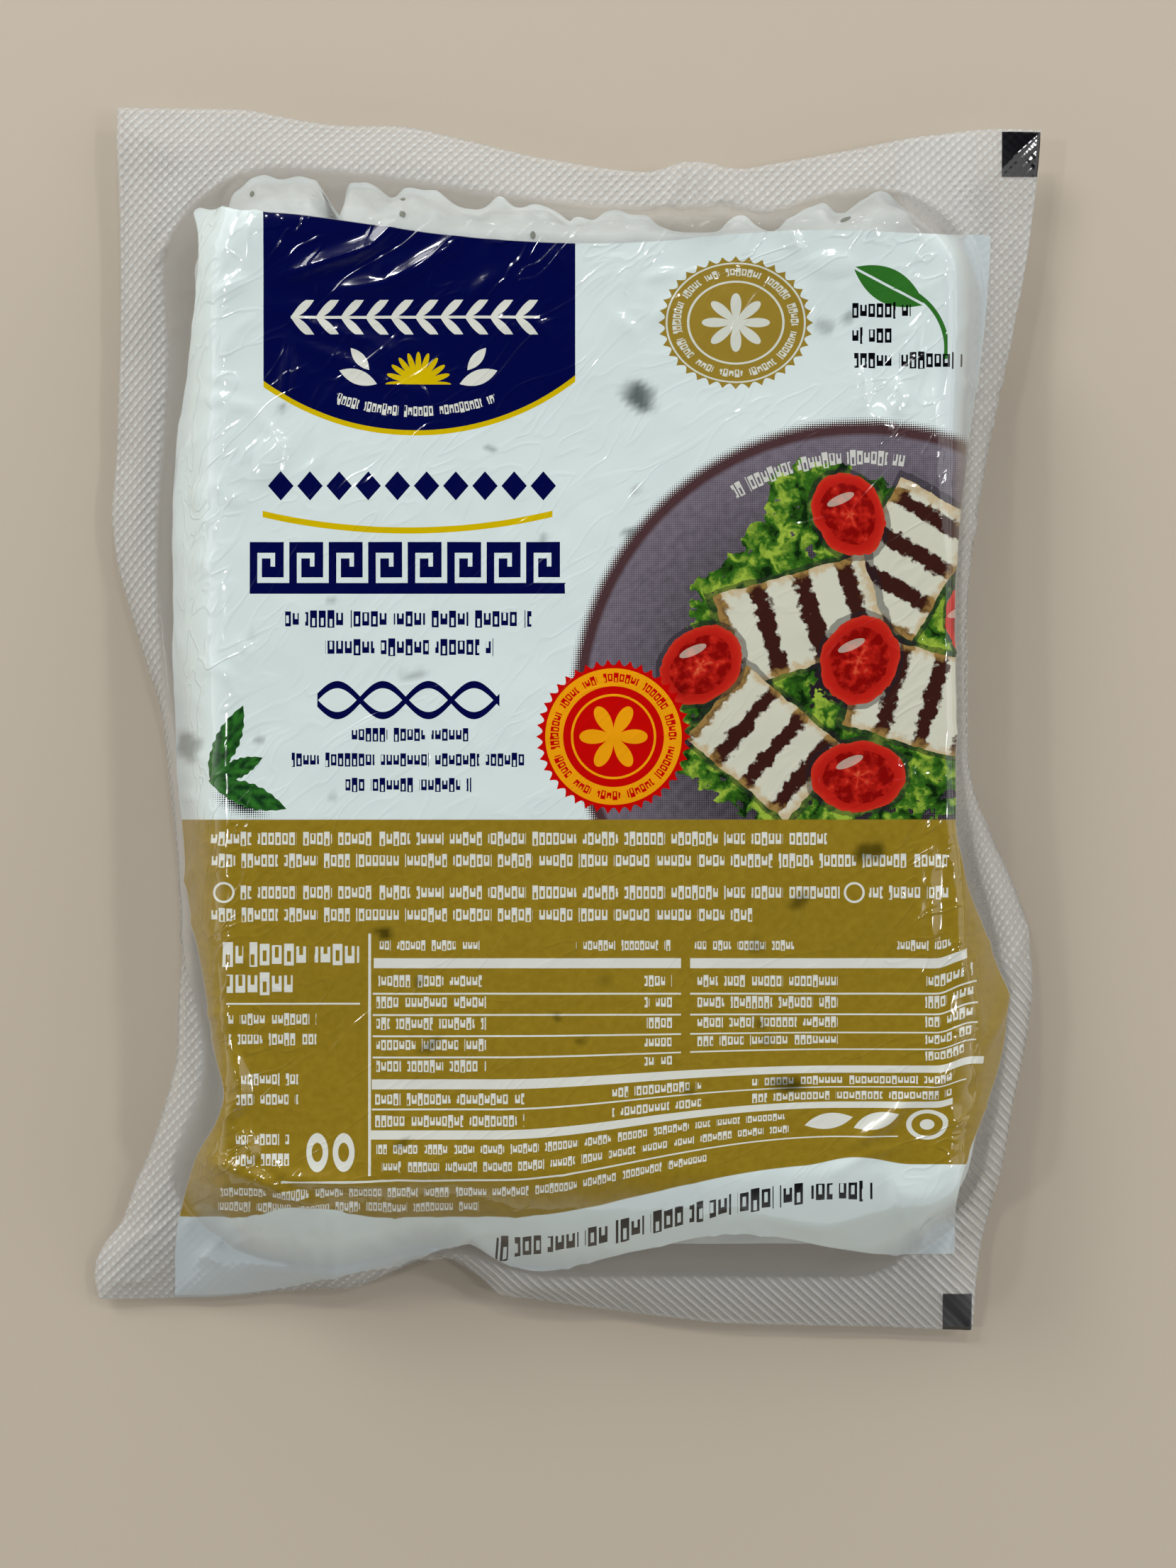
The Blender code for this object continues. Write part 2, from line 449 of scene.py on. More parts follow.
def fine_folds(place):
    """Thin sharp folds, 0 to 1: the lines along which a coarse noise is at its mean."""
    sockets = {"Vector": place, "Rotation": (0, 0, math.radians(FOLD_WAY)),
               "Scale": (FOLD_SIZE[0] * MM, FOLD_SIZE[1] * MM, FOLD_SIZE[1] * MM)}
    drawn_out = place.node("Mapping", {"vector_type": "TEXTURE"}, sockets)
    noise = place.node("TexNoise", {}, {"Vector": drawn_out, "Scale": 1.0, "Detail": 1.0,
                                        "Distortion": 1.2})
    return abs(noise - 0.5).line(-FOLD_SHARPNESS, 1.0).math("MAXIMUM", 0.0)


def film_material(name, print_on=None):
    """Clear film, embossed where it is welded.

    Print_on gives the colour of the ink on it, and the mask of where it is inked.
    """
    material, shader, start = new_material(name)
    depth, relief, matt_and_lit_edge = start.field("film_zones")
    place = start.node("TexCoord", output=3)
    weld = (depth * -1.0).over(*WELD_START)
    pattern = emboss(place, relief) * weld
    folds = fine_folds(place) * relief * depth.math("GREATER_THAN", 0.0)
    # The cut edge's share of this haze is painted highlight.
    haze = weld.line(WELD_HAZE, CLEAR_HAZE) + matt_and_lit_edge * MATT_AND_LIT_EDGE_HAZE
    # Painted highlight: the emboss's raised rows get more haze, so they look lighter.
    haze = haze + pattern.math("MAXIMUM", 0.0) * RIDGE_HIGHLIGHT_HAZE
    colour = linear(FILM_TONE)
    rough = weld
    if print_on:
        ink, inked = print_on(start)
        colour = inked.paint(ink, FILM_TONE)
        clear = 1 - inked
        pattern = pattern * inked.line(-INK_EVENING, 1.0)
        haze = haze * clear + inked
        rough = weld * clear
    bump = start.node("Bump", {}, {"Strength": 1.0, "Distance": EMBOSS_DEPTH * MM,
                                   "Height": pattern * 0.5 + folds * FOLD_HEIGHT})
    rough = rough.line(WELD_ROUGHNESS - CLEAR_ROUGHNESS, CLEAR_ROUGHNESS)
    feed(shader, {"Base Color": colour, "Roughness": rough, "IOR": FILM_IOR, "Alpha": haze,
                  "Normal": bump})
    return material


x, y, weld, lid, depth = film_faces(*film_grid(LID_ACROSS, LID_ALONG))
low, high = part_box("sealed_pack")
shift = np.array(((low[0] + high[0]) / 2 / MM - (x.min() + x.max()) / 2,
                  (low[1] + high[1]) / 2 / MM - (y.min() + y.max()) / 2, 0.0))
a, b = on_picture(x, y, lid)
weld_depth = depth - 2.4 * smooth_step(a, 30.0, 40.0)
# Each film keeps how deep inside the weld a point lies, how ribbed it is in the weld or
# folded inside it, and how matt it is, with the painted highlight of its cut edge.
ribs, matt_and_lit_edge = emboss_zones(a, b)
film_zones = (weld_depth, np.where(weld_depth < 0, ribs, fold_zone(weld_depth, b)), matt_and_lit_edge)

drop = wall_rise(depth - BASE_INSET, BASE_RUN)
formed = np.stack((x, y, (weld - WELD_DEPTH) * (1 - drop) + 0.02), axis=-1) + shift
base_film = mesh_over("base_film", formed[::2, ::-2])
keep_field(base_film, "film_zones", *[zone[::2, ::-2] for zone in film_zones])
clear_film = film_material("clear_film")
base_film.data.materials.append(clear_film)
give_thickness(base_film, FILM_THICKNESS)
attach(base_film, "root")
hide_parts("sealed_pack")

# Slab of cheese
# One pressed slab, folded over and cut, about 23 mm thick. The films are drawn so tight
# that it gives the pack its form. Its back end shows through the clear film as lumps.

CHEESE_GAP = 0.22
CHEESE_INSET = 0.8
CHEESE_EDGE = 4.4
CHEESE_EDGE_BACK = 1.3
CHEESE_TURNS = 900
CHEESE_RINGS = 61
CHEESE_SIDE_RINGS = 8
SLAB_MIDDLE = (2, 0)
BACK_NOTCHES = ((-42.5, 6, 4.5), (-26.4, 1.9, 3.6), (-21, 2.4, 1), (-11, 4, 1.2),
                (1, 4, 0.9), (14.6, 6, 2.8), (23.4, 3, 1.2), (31.4, 2.8, 1.2),
                (42.6, 5.6, 3))
CHEESE_WHITE = (208, 215, 213)
CHEESE_CREAM = (178, 186, 184)


def cheese_edge(x, y):
    """How far inside the walls' foot the slab's side stands: least at its back end.

    Flat-bottomed gaps part the lumps there: each has a middle, a half width and a depth.
    """
    back = smooth_step(y, 50.0, 58.0)
    edge = CHEESE_EDGE + (CHEESE_EDGE_BACK - CHEESE_EDGE) * back
    edge += 0.3 * ripple(x, y, 3.6, 8, 13) * back
    for middle, half_width, depth in BACK_NOTCHES:
        edge += depth * back * (1 - smooth_step(np.abs(x - middle), 0.1 * half_width, half_width))
    return edge


def cheese_height(x, y):
    """The slab's upper face: the lid's form, moved in and down a little, less its dimples."""
    depth, run = wall_depth(x, y)
    back = smooth_step(y, 50.0, 58.0)
    inset = CHEESE_INSET + (cheese_edge(x, y) - CHEESE_EDGE_BACK) * back
    rise = wall_rise(np.clip(depth - inset, 0.0, None), run)
    dimples = 0.10 * (1 + ripple(x, y, 7.0, 12, 3)) + 0.04 * (1 + ripple(x, y, 2.6, 14, 4))
    top = SEAL_HEIGHT + (slab_top(x, y) - SEAL_HEIGHT) * rise
    return top - FILM_THICKNESS - CHEESE_GAP - np.clip(dimples, 0.0, None)


def cheese_outline(turn):
    """Distance from the slab's middle to its edge each way, found by halving."""
    near = np.zeros_like(turn)
    far = np.full_like(turn, 100.0)
    for _ in range(30):
        middle = (near + far) / 2
        x = SLAB_MIDDLE[0] + middle * np.cos(turn)
        y = SLAB_MIDDLE[1] + middle * np.sin(turn)
        inside = wall_depth(x, y)[0] > cheese_edge(x, y)
        near = np.where(inside, middle, near)
        far = np.where(inside, far, middle)
    return near


def cheese_points():
    """Rings from the top's middle out to the edge, down the side and in again below."""
    turn = np.linspace(0, 2 * np.pi, CHEESE_TURNS, endpoint=False)[None, :]
    share = np.sin(np.linspace(0, np.pi / 2, CHEESE_RINGS))[:, None]
    out = share * cheese_outline(turn)
    x = SLAB_MIDDLE[0] + out * np.cos(turn)
    y = SLAB_MIDDLE[1] + out * np.sin(turn)
    top = cheese_height(x, y)
    depth = wall_depth(x, y)[0]
    low = (SEAL_HEIGHT - WELD_DEPTH) * (1 - wall_rise(depth - BASE_INSET - 0.3, BASE_RUN))
    low += FILM_THICKNESS + CHEESE_GAP
    side = np.linspace(0, 1, CHEESE_SIDE_RINGS + 2)[1:-1, None]
    bulge = 0.8 * np.sin(np.pi * side)
    side_x = x[-1] + bulge * np.cos(turn)
    side_y = y[-1] + bulge * np.sin(turn)
    side_z = top[-1] + (low[-1] - top[-1]) * side
    all_x = np.concatenate((x, side_x, x[::-3]))
    all_y = np.concatenate((y, side_y, y[::-3]))
    all_z = np.concatenate((top, side_z, low[::-3]))
    return np.stack((all_x, all_y, all_z), axis=-1) + shift


def close_poles(piece):
    """Merges points that fall together and turns all faces outwards."""
    bm = bmesh.new()
    bm.from_mesh(piece.data)
    bmesh.ops.remove_doubles(bm, verts=bm.verts, dist=1e-6)
    bmesh.ops.recalc_face_normals(bm, faces=bm.faces)
    bm.to_mesh(piece.data)
    bm.free()


def cheese_material():
    material, shader, start = new_material("moist_cheese")
    place = start.node("TexCoord", output=3)
    grain = start.node("TexNoise", {}, {"Vector": place, "Scale": 900.0, "Detail": 6.0})
    curds = start.node("TexNoise", {}, {"Vector": place, "Scale": 110.0, "Detail": 3.0})
    tone = start.node("ValToRGB", {"stops": ((0.3, linear(CHEESE_CREAM)),
                                             (0.7, linear(CHEESE_WHITE)))}, {0: curds})
    bump = start.node("Bump", {}, {"Strength": 0.35, "Distance": 0.0004,
                                   "Height": grain * 0.5 + curds})
    feed(shader, {"Base Color": tone, "Roughness": curds.line(0.2, 0.32), "Normal": bump,
                  "Subsurface Weight": 0.15, "Subsurface Radius": (1.0, 0.9, 0.7),
                  "Subsurface Scale": 0.002})
    return material


cheese = mesh_over("cheese_slab", cheese_points(), wrap=True)
close_poles(cheese)
cheese.data.materials.append(cheese_material())
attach(cheese, "root")
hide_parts("sealed_pack")

# Mint leaves
# Chopped dried mint that is pressed onto the slab. The film lies over it, so it shows as
# dark green flakes at the clear back end and as grey patches through the white print.

# Leaves that show through the print: place on the picture, half length, half width, turn
# in radians, and how dark the film is over them.
SHOWING_MINT = (
    (5.6, 42.5, 1.9, 1.3, -0.8, 1), (4.5, 27.6, 0.8, 0.5, 0.3, 0.7),
    (5.2, 32.2, 0.6, 0.5, 0, 0.4), (25.9, 50.2, 0.9, 1, 0.4, 0.45),
    (28.5, 51.3, 0.9, 0.6, 0.9, 0.5), (-10.7, 36.8, 0.5, 0.4, 0, 0.6),
    (-33.6, 41.2, 0.5, 0.4, 0, 0.6), (-4.8, 26.9, 0.5, 0.4, 0, 0.5),
    (-43.8, 4.2, 1.3, 1.6, 0.3, 0.75), (-36.1, 4.9, 0.6, 0.4, 0, 0.5),
    (-19, 12, 1.3, 0.5, 0.1, 0.45), (-28, 20, 0.6, 0.4, 0, 0.4),
    (-28, -1.3, 0.6, 0.4, 0, 0.4), (-22.5, -16.4, 1, 0.7, -0.3, 0.9),
    (-17.4, -28.7, 1.2, 0.6, 0.6, 0.7), (-18.5, -21.7, 0.5, 0.7, 0, 0.6),
    (-3.5, -25.6, 0.5, 0.4, 0, 0.7), (-0.7, -28.2, 0.6, 0.4, 0, 0.7),
    (30.9, -7.5, 1.7, 1.1, 0.2, 0.85), (23.1, -12.9, 1.3, 0.7, 0.5, 0.7),
    (18.5, -17.9, 0.8, 0.8, 0, 0.5), (18.8, -26.4, 0.6, 0.8, 0.2, 0.5),
    (19.7, -28.3, 0.7, 0.6, 0, 0.5), (1.9, -21.5, 0.7, 0.7, 0, 0.35),
    (21.9, -33, 1.9, 0.9, -0.1, 0.9), (11.1, -33.7, 0.6, 0.5, 0, 0.6),
    (-20.6, -39.6, 0.9, 0.5, 0.4, 0.6), (-36.9, 16.4, 0.4, 0.3, 0, 0.4),
    (10.4, 10.2, 0.5, 0.5, 0, 0.4),
)
OTHER_MINT = 45
MINT_CURL = 0.12
MINT_DARK = (44, 52, 30)
MINT_GREEN = (78, 92, 48)


def mint_leaves():
    """Each leaf's middle in x and y, half length, half width and turn."""
    level = (EYE_HEIGHT - SLAB_HEIGHT + 0.5) / (EYE_HEIGHT - SLAB_HEIGHT)
    leaves = [(a * level + EYE_X - shift[0], b * level + EYE_Y - shift[1], length, width, turn)
              for a, b, length, width, turn, _ in SHOWING_MINT]
    draw = np.random.default_rng(7)
    while len(leaves) < len(SHOWING_MINT) + OTHER_MINT:
        x = draw.uniform(FOOT_LEFT, FOOT_RIGHT)
        y = draw.uniform(FOOT_FRONT, FOOT_BACK)
        spot = np.array(x), np.array(y)
        inside = wall_depth(*spot)[0] - cheese_edge(*spot)
        if 1.2 < inside < 7.0:
            size = draw.uniform(0.2, 0.6)
            leaves.append((x, y, size, size * draw.uniform(0.4, 0.9), draw.uniform(0, np.pi)))
    return np.array(leaves).T[:, :, None, None]


def mint_points():
    """Leaf by leaf, a small grid whose half width is a half sine wave of its length."""
    middle_x, middle_y, length, width, turn = mint_leaves()
    out = np.linspace(-1, 1, 6)[None, :, None]
    side = np.linspace(-1, 1, 5)[None, None, :]
    forward = out * length + 0 * side
    sideways = side * width * (0.12 + 0.88 * np.cos(out * np.pi / 2) ** 0.7)
    x = middle_x + forward * np.cos(turn) - sideways * np.sin(turn)
    y = middle_y + forward * np.sin(turn) + sideways * np.cos(turn)
    z = cheese_height(x, y) + 0.05 + MINT_CURL * length * (out * side) ** 2 * 0.3
    return np.stack((x, y, z), axis=-1) + shift


def mint_material():
    material, shader, start = new_material("dried_mint")
    place = start.node("TexCoord", output=3)
    veins = start.node("TexNoise", {}, {"Vector": place, "Scale": 2400.0, "Detail": 4.0})
    bump = start.node("Bump", {}, {"Strength": 0.6, "Distance": 0.0002, "Height": veins})
    feed(shader, {"Base Color": veins.over(0.5, 0.3).paint(MINT_GREEN, MINT_DARK),
                  "Roughness": veins.line(0.3, 0.4), "Normal": bump})
    return material


mint = mesh_over("mint_leaves", mint_points())
mint.data.materials.append(mint_material())
give_thickness(mint, 0.09)
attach(mint, "root")
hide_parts("sealed_pack")

# Lid film
# A clear film printed in white and colours, drawn tight over the slab by the vacuum. It
# shrank into creases down the walls and pleats at the corners, and is welded all round.

# Long creases as the eye sees them, on the level of the slab's top: the half width and
# height of each, and then the places across and up of the points that it runs through.
CREASES = (
    (0.8, 0.8, -18.4, 64, -23.8, 58.9, -33.9, 55.5),
    (0.8, 0.5, -13.2, 61, -16.1, 58.4, -22.4, 54.8, -28.4, 54),
    (0.8, 0.9, -37.9, 66.7, -40.1, 62),
    (0.7, 0.5, -35.6, 64.9, -37.1, 60.6, -36.8, 55.5),
    (0.9, 0.5, -37, 55.5, -41.5, 53.5),
    (0.6, 0.9, -48.2, 56.8, -44.6, 60.2, -41.6, 63.6),
    (0.6, 0.35, -35, 52.5, -29.9, 50.2, -23.4, 48.4, -19.4, 47.6),
    (0.6, 0.3, -33.5, 49, -26.4, 46.2, -22.7, 44.5, -17, 42),
    (0.6, 0.45, -32.5, 48.6, -33.4, 42),
    (0.6, 0.35, -43, 42.8, -36, 41),
    (0.5, 0.3, -36.5, 41, -33.6, 37, -34.4, 35.2),
    (0.5, 0.3, -29.4, 38.8, -29.4, 35.4, -31.6, 33.6),
    (0.6, 0.9, -44.8, 39.5, -45.7, 35.3, -46, 30, -46.3, 22, -45.8, 10),
    (0.5, 0.5, -41.5, 39, -44.3, 36.4, -45, 30.5, -44.9, 24),
    (0.7, 0.9, 10.6, 68.6, 8.9, 63.2, 7, 61.6),
    (0.6, 0.7, 12.3, 68.8, 11.1, 61.6),
    (0.6, 0.9, 13.9, 68.4, 14.3, 62.6, 12, 59.4),
    (0.7, 0.8, 16, 67.6, 14.8, 60.6),
    (0.6, 0.6, 5.6, 64.8, 9, 62, 12.4, 59.6),
    (0.6, 0.5, 17.4, 66, 17, 61.5),
    (0.7, 0.6, 27.8, 65, 25.9, 63.1, 22.3, 62.4),
    (0.8, 0.6, 31.8, 64.6, 31, 59.6),
    (0.7, 0.5, 21, 62.2, 23.2, 58.4),
    (0.8, 0.5, 33.4, 64.8, 36.2, 62),
    (1, 0.5, 37.6, 44, 38, 34.5),
    (0.9, 0.6, 37.3, -5, 37.5, -13.9, 37.5, -22),
    (0.6, 0.45, 38.6, 44, 38, 36, 38.6, 26),
    (0.7, 0.55, 29.6, 46.4, 30.2, 43.6, 30, 40.4),
    (0.6, 0.5, 33, 44.6, 34.4, 42.4, 33.4, 40.4),
    (0.9, 0.55, 31, 41, 33.2, 38),
    (0.7, 0.5, 36.4, 52, 36, 47.6, 37.2, 44.8),
    (0.8, 0.6, 40.6, -5, 40.6, -18.5, 43.4, -29.2),
    (0.7, 0.8, 48.4, -15, 46, -20, 45.1, -25.3, 43.2, -29.6),
    (0.9, 0.8, 36.6, -33.2, 32.6, -37.2, 28.2, -40.2),
    (0.7, 0.6, 39.9, -30.4, 36.2, -35.6),
    (0.8, 0.5, 35.6, -39.4, 31, -40.4, 26, -43),
    (0.7, 0.8, -44.2, -20, -45, -33.4, -49.2, -44.2, -53.8, -52.2),
    (0.7, 0.5, -42.2, -24, -42.6, -34, -45.4, -42.6, -49.6, -50),
    (0.6, 0.7, -46, -48.2, -49.5, -50.3, -52.2, -52.6),
    (0.6, 0.6, -46.2, -52.4, -48.8, -54.2, -52.2, -54.6),
    (0.7, 1, -38.9, -29, -38, -34, -39.6, -37.2),
    (0.7, 1.1, -38.4, -37.6, -36.9, -40.4, -39, -43.4),
    (0.8, 1.2, -41.4, -41.2, -35.5, -43.4, -29, -46.4),
    (0.7, 0.9, -36, -40.6, -32.9, -43.2, -22, -43.8),
    (0.8, 0.8, -22, -53.2, -17.1, -51.6, -12.9, -49.2, -9.6, -48.8),
    (0.8, 0.7, -13.4, -48.8, -7.4, -53.2),
    (1, 0.6, -12, -56, -7, -54.6, 0, -55.4),
    (1.2, 0.5, 18, -47, 26, -48.4, 34, -46),
)
BLISTERS = ((-35, 35.4, 1.9, 2.8, 0.35), (-42.6, 31.8, 1.2, 1.8, 0.3),
            (-22.5, 46.8, 2.2, 1.4, 0.25), (26.8, 57, 3, 1.6, 0.3))
SMALL_CREASES = 230


def crease(a, b, path, width, height):
    """A ridge along a path: highest on it, thinning out sideways and towards its ends."""
    path = np.reshape(path, (-1, 2))
    steps = np.linalg.norm(np.diff(path, axis=0), axis=1)
    length = steps.sum()
    travelled = 0.0
    ridge = np.zeros_like(a)
    for (start_a, start_b), (end_a, end_b), step in zip(path, path[1:], steps):
        way_a = (end_a - start_a) / step
        way_b = (end_b - start_b) / step
        reach = np.clip((a - start_a) * way_a + (b - start_b) * way_b, 0.0, step)
        aside = np.hypot(a - start_a - reach * way_a, b - start_b - reach * way_b)
        taper = np.sin(np.pi * np.clip((travelled + reach) / length, 0.04, 0.96)) ** 0.6
        ridge = np.maximum(ridge, taper * np.exp(-(aside / width) ** 1.4))
        travelled += step
    return height * ridge


def film_relief(a, b):
    """How far the lid stands off its smooth form: creases, blisters and slow waves.

    The small creases are drawn by chance near the shoulders, where the film shrank most,
    and lie within about 40 degrees of straight down the wall.
    """
    relief = np.zeros_like(a)
    for width, height, *path in CREASES:
        relief = np.maximum(relief, crease(a, b, path, width, height))
    for centre_a, centre_b, half_a, half_b, height in BLISTERS:
        away = np.hypot((a - centre_a) / half_a, (b - centre_b) / half_b)
        relief += height * np.clip(1 - away ** 4, 0, 1)
    draw = np.random.default_rng(11)
    for _ in range(SMALL_CREASES):
        side = draw.integers(4)
        spread = draw.uniform(-1, 1)
        if side < 2:
            start = ((-1) ** side * 42.0 + draw.normal(0, 2.5), spread * 56.0)
            way = draw.normal(0, 0.7)
        else:
            start = (spread * 40.0, (-1) ** side * 52.0 + draw.normal(2, 3.0))
            way = np.pi / 2 + draw.normal(0, 0.7)
        length = draw.uniform(1.5, 5.0)
        end = (start[0] + length * np.cos(way), start[1] + length * np.sin(way))
        small = crease(a, b, start + end, draw.uniform(0.35, 0.6), draw.uniform(0.1, 0.34))
        relief = np.maximum(relief, small)
    slow = 0.08 * (1 + ripple(a, b, 16.0, 10, 5)) + 0.03 * (1 + ripple(a, b, 5.0, 16, 6))
    return relief + np.clip(slow, 0.0, None)


def straight_out(points):
    """The direction straight out of a grid of points, from its rows and columns."""
    out = np.cross(np.gradient(points, axis=1), np.gradient(points, axis=0))
    return out / np.linalg.norm(out, axis=-1, keepdims=True)


# The label's edges and its lower panel's, as the eye sees them, each with its dents. The
# panel's front edge and all its rows bend back to the right, down the front wall.
LABEL_LEFT = -45.3
LABEL_RIGHT = 40.2
LABEL_FRONT = -51.5
LABEL_BACK = 61.5
LABEL_LEFT_DENTS = ((60, 32, 2.6), (-11, 20, 1.15), (-30.5, 22, 4.3), (-35, 7, 1.5))
LABEL_RIGHT_DENTS = ((64, 46, 4), (-26, 22, 5.5))
LABEL_FRONT_DENTS = ((-45, 36, -4.8), (-14, 8, 1.6), (-5, 10, -1.8),
                     (17, 16, 2.2))
LABEL_BACK_DENTS = ((-44, 30, 1.4), (0, 34, -2.2), (44, 30, -1.3))
PANEL_BACK = -3.9
PANEL_FRONT = -47.4
PANEL_FRONT_DENTS = ((-31, 8, 1.3), (29.5, 6, 1))
ROW_BEND = 6.1
ROW_RISE = 1.4


def print_rows(a, b):
    """Each point's place up the flat print: the picture's, less the bend of the rows.

    The rows bend back towards the front right corner, and rise at the right shoulder.
    """
    bend = ROW_BEND * smooth_step(a, -10.0, 28.0) * smooth_step(-b, 24.0, 45.0)
    rise = ROW_RISE * smooth_step(a, 38.2, 42.2) * smooth_step(-b, 12.0, 19.0)
    return b - bend - rise * smooth_step(b, -42.0, -36.0)


def label_zones(a, b, row):
    """How far inside the label, and inside its lower panel, each point lies."""
    label = np.minimum.reduce((
        a - LABEL_LEFT - bumps(b, LABEL_LEFT_DENTS),
        LABEL_RIGHT + bumps(b, LABEL_RIGHT_DENTS) - a,
        b - LABEL_FRONT - bumps(a, LABEL_FRONT_DENTS),
        LABEL_BACK + bumps(a, LABEL_BACK_DENTS) - b))
    panel = np.minimum(PANEL_BACK - b, row - PANEL_FRONT - bumps(a, PANEL_FRONT_DENTS))
    return label, panel


def mint_shadow(a, b):
    """How dark the mint makes the film at each point: blurred leaves of uneven outline."""
    wobble = 0.16 * ripple(a, b, 2.2, 8, 21)
    dark = np.zeros_like(a)
    for centre_a, centre_b, length, width, turn, depth in SHOWING_MINT:
        forward = (a - centre_a) * np.cos(turn) + (b - centre_b) * np.sin(turn)
        sideways = (b - centre_b) * np.cos(turn) - (a - centre_a) * np.sin(turn)
        away = np.hypot(forward / length, sideways / width) + wobble
        dark = np.maximum(dark, depth * (1 - smooth_step(away, 0.4, 1.5)))
    return dark


smooth_lid = np.stack((x, y, lid), axis=-1)
relief = film_relief(a, b)[..., None] * straight_out(smooth_lid)
lid_film = mesh_over("lid_film", smooth_lid + relief + shift)
row = print_rows(a, b)
label, panel = label_zones(a, b, row)
keep_field(lid_film, "print_place", a, row, mint_shadow(a, b))
keep_field(lid_film, "label_zones", label, panel, b)
keep_field(lid_film, "film_zones", *film_zones)

# The print: colours as they look through the gloss, and places in millimetres on the
# flat label, from under the eye.
LABEL_WHITE = (214, 227, 225)
# The next white is the label white greyed with painted shade, for where no cheese lies behind it.
THIN_WHITE_IN_SHADE = (186, 196, 198)
NAVY = (4, 9, 66)
YELLOW = (206, 178, 4)
GOLD = (148, 124, 36)
GOLD_CLOUD = (134, 111, 26)
PANEL_WHITE = (216, 218, 208)
BLACK = (6, 6, 12)
MINT_SHADE = (112, 118, 116)
SCREEN_PITCH = 0.34
PRINT_EDGE = 0.12


class Sheet:
    """What the artwork is drawn from: places on the flat print, a grain and a dot screen."""

    def __init__(self, start):
        self.a, self.row, self.mint = start.field("print_place")
        self.label, self.panel, self.seen_b = start.field("label_zones")
        self.place = start.node("CombineXYZ", {}, {0: self.a, 1: self.row})
        self.grain = start.node("TexNoise", {}, {"Vector": self.place, "Scale": 1.1,
                                                 "Detail": 3.0})
        turn = math.pi / SCREEN_PITCH * math.sqrt(2)
        self.screen = (((self.a + self.row) * turn).math("SINE")
                       * ((self.a - self.row) * turn).math("SINE"))

    def local(self, middle, half_sizes, degrees=0.0, place=None):
        """Places in a frame that lies turned on the print, -1 to 1 over its half sizes."""
        sockets = {"Vector": place or self.place, "Location": (*middle, 0),
                   "Rotation": (0, 0, math.radians(degrees)), "Scale": (*half_sizes, 1)}
        return self.place.node("Mapping", {"vector_type": "TEXTURE"}, sockets)

    def away(self, middle):
        """Distance from a middle, in millimetres."""
        return self.local(middle, (1.0, 1.0)).length()

    def leaf(self, middle, half_sizes, degrees=0.0):
        """1 inside a leaf: its half width falls off as the square of the distance along it."""
        along, across, _ = self.local(middle, half_sizes, degrees).parts()
        return abs(across).under((along * along).line(-1.0, 1.0))

    def box(self, left, right, front, back):
        """1 inside a box with these edges."""
        return self.a.between(left, right) * self.row.between(front, back)

    def block(self, back, pitch, height, word, columns):
        """Small print in columns: each has its left and right end, and its rows' numbers."""
        bars, _ = small_print(self.a, self.row, back, pitch, height, word)
        return bars * together([self.box(left, right, back - last * pitch, back - first * pitch)
                                for left, right, first, last in columns])


def small_print(along, row, back, pitch, height, word):
    """Rows of short bars in word lengths, which stand in for small print, and their number.

    Where a word ends, how tall each bar is, and where its hole lies fall by chance.
    """
    line = row.line(-1 / pitch, back / pitch)
    number = line.math("FLOOR")
    words = number.math("MULTIPLY_ADD", 17.3, along * (1 / word))
    gap = words.node("TexVoronoi", {"voronoi_dimensions": "1D", "feature": "DISTANCE_TO_EDGE"},
                     {"W": words, "Scale": 1.0, "Randomness": 0.8}).over(0.35 / word, 0.01)
    stretch = along * (2.1 / height)
    chance = number.math("MULTIPLY_ADD", 31.7, stretch.math("FLOOR"))
    chance = chance.node("TexWhiteNoise", {"noise_dimensions": "1D"}, {"W": chance})
    half = height / pitch / 2
    aside = line.math("FRACT") - half
    bar = abs(aside).under(chance.line(half * 0.4, half * 0.6))
    across = stretch.math("FRACT")
    hole = abs(aside - chance.line(half, half * -0.5)).under(half * 0.42)
    hole = hole * across.between(0.24, 0.56)
    return bar * gap * across.under(0.8) * (1 - hole), number


# Crest: a navy field hung from the label's back edge, with a garland, a rising sun
# between leaves, and a yellow line along its rounded lower edge.
CREST_MIDDLE = -18.5
CREST_HALF_WIDTH = 17.1
CREST_ARC = ((-18.9, 67.1), 28.6)
CREST_LINE = 0.28
CREST_PRINT = (25.6, 26.9)
CREST_PRINT_HALF = 8.6
GARLAND = (-32.6, -5.3)
GARLAND_ROW = 51.2
GARLAND_HEIGHT = 1.9
GARLAND_PITCH = 2.73
SUN = (-18.6, 43.8)
SUN_HALF_SIZE = 3.6
SUN_RAYS = 10
CREST_LEAVES = (((-25.2, 44.6), (2.2, 0.8), 160), ((-12, 44.6), (2.2, 0.8), 20),
                ((-25, 46.6), (1.6, 0.6), 130), ((-12.2, 46.6), (1.6, 0.6), 50))


